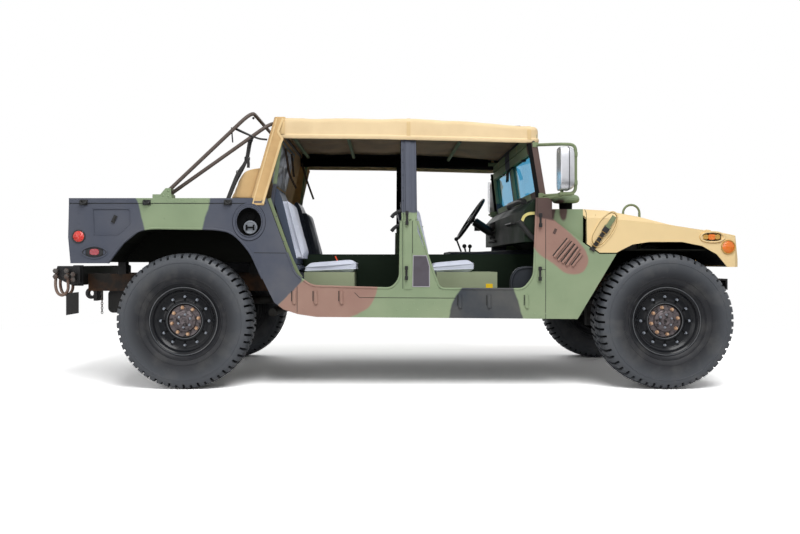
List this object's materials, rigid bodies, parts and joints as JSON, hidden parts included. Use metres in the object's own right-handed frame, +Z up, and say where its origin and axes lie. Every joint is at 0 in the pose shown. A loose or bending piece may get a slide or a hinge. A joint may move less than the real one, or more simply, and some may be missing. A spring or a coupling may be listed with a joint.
{
  "type": "light four-wheel-drive army utility truck with a soft top",
  "caption": "Wide low army 4x4 car with doors off, canvas soft top over four seats, open load bed, tilting hood, drop tailgate and steered wheels.",
  "frame": {"origin": "on the ground under the middle of the vehicle's length and width", "axes": "+X forward, +Y left, +Z up"},
  "size_m": [4.9029, 2.45, 1.912],
  "materials": {
    "camo_paint": "three-colour matt camouflage paint",
    "hood_paint": "matt tan paint",
    "dark_paint": "matt dark green-black paint",
    "chassis_paint": "matt black chassis paint",
    "cast_metal": "painted casting",
    "core_metal": "radiator core",
    "tyre_rubber": "black rubber",
    "canvas_cloth": "coated tan canvas",
    "clear_sheet": "clear flexible sheet",
    "pane_glass": "laminated glass",
    "cushion_cloth": "coated cushion cloth",
    "hoop_paint": "matt brown paint",
    "lamp_lens": "moulded lens",
    "black_plastic": "moulded black plastic",
    "ring_steel": "forged steel",
    "latch_rubber": "moulded rubber strap"
  },
  "bodies": {
    "chassis": {"frame_rails": "chassis_paint", "frame_crossmembers": "chassis_paint", "front_bumper": "dark_paint", "rear_bumper": "dark_paint", "engine_block": "cast_metal", "driveline": "cast_metal", "fuel_tank": "black_plastic", "exhaust": "ring_steel", "radiator": "core_metal", "lift_brackets": "dark_paint", "rear_hub_carriers": "cast_metal", "suspension_arms": "chassis_paint", "suspension_brackets": "chassis_paint", "spring_units": "chassis_paint", "steering_column": "dark_paint", "cab_sides": "camo_paint", "cab_floor": "dark_paint", "firewall": "dark_paint", "dash": "dark_paint", "cowl_boxes": "camo_paint", "air_intake": "camo_paint", "rear_bulkhead": "camo_paint", "bed_sides": "camo_paint", "side_lamps": "lamp_lens", "fuel_filler": "dark_paint", "bed_floor": "camo_paint", "wheelhouses": "camo_paint", "cargo_bows": "hoop_paint", "windshield_frame": "dark_paint", "windshield_glass": "pane_glass", "top_frame": "dark_paint", "soft_top": "canvas_cloth", "rear_window": "clear_sheet", "inner_fenders": "dark_paint", "seat_bases": "dark_paint", "seat_cushions": "cushion_cloth", "seat_backs": "cushion_cloth", "levers": "black_plastic", "mirrors": "dark_paint"},
    "tailgate": {"tailgate": "camo_paint"},
    "hood": {"hood": "hood_paint", "hood_lamps": "lamp_lens", "hood_latches": "latch_rubber"},
    "steering_wheel": {"steering_wheel": "black_plastic"},
    "steering_rod": {"steering_rod": "chassis_paint"},
    "knuckle_left": {"knuckle_left": "cast_metal"},
    "knuckle_right": {"knuckle_right": "cast_metal"},
    "wheel_front_left": {"tyre_front_left": "tyre_rubber", "rim_front_left": "chassis_paint"},
    "wheel_front_right": {"tyre_front_right": "tyre_rubber", "rim_front_right": "chassis_paint"},
    "wheel_rear_left": {"tyre_rear_left": "tyre_rubber", "rim_rear_left": "chassis_paint"},
    "wheel_rear_right": {"tyre_rear_right": "tyre_rubber", "rim_rear_right": "chassis_paint"}
  },
  "joints": [
    {"name": "hood_hinge", "type": "hinge", "parent": "chassis", "child": "hood", "pos_m": [2.4155, 0, 0.8], "axis": [0, 1, 0], "range_deg": [0, 85]},
    {"name": "tailgate_hinge", "type": "hinge", "parent": "chassis", "child": "tailgate", "pos_m": [-2.1215, 0, 0.89], "axis": [0, -1, 0], "range_deg": [0, 90]},
    {"name": "steer_left", "type": "hinge", "parent": "chassis", "child": "knuckle_left", "pos_m": [1.9155, 0.854, 0.466], "axis": [0, 0, 1], "range_deg": [-30, 30]},
    {"name": "steer_right", "type": "hinge", "parent": "chassis", "child": "knuckle_right", "pos_m": [1.9155, -0.854, 0.466], "axis": [0, 0, 1], "range_deg": [-30, 30]},
    {"name": "steering_rod_slide", "type": "slide", "parent": "chassis", "child": "steering_rod", "axis": [0, -1, 0], "range_m": [-0.0604, 0.0604]},
    {"name": "steering_wheel_turn", "type": "hinge", "parent": "chassis", "child": "steering_wheel", "pos_m": [0.7485, 0.55, 1.251], "axis": [-0.8339, 0, 0.5519], "range_deg": [-391, 391]},
    {"name": "roll_front_left", "type": "hinge", "parent": "knuckle_left", "child": "wheel_front_left", "pos_m": [1.9155, 0.914, 0.466], "axis": [0, 1, 0], "continuous": true},
    {"name": "roll_front_right", "type": "hinge", "parent": "knuckle_right", "child": "wheel_front_right", "pos_m": [1.9155, -0.914, 0.466], "axis": [0, 1, 0], "continuous": true},
    {"name": "roll_rear_left", "type": "hinge", "parent": "chassis", "child": "wheel_rear_left", "pos_m": [-1.3865, 0.914, 0.466], "axis": [0, 1, 0], "continuous": true},
    {"name": "roll_rear_right", "type": "hinge", "parent": "chassis", "child": "wheel_rear_right", "pos_m": [-1.3865, -0.914, 0.466], "axis": [0, 1, 0], "continuous": true}
  ],
  "couplings": [
    {"joint": "steer_right", "follows": "steer_left", "ratio": 1},
    {"joint": "steering_rod_slide", "follows": "steer_left", "m_per_rad": 0.115},
    {"joint": "steering_wheel_turn", "follows": "steer_left", "ratio": 13}
  ]
}
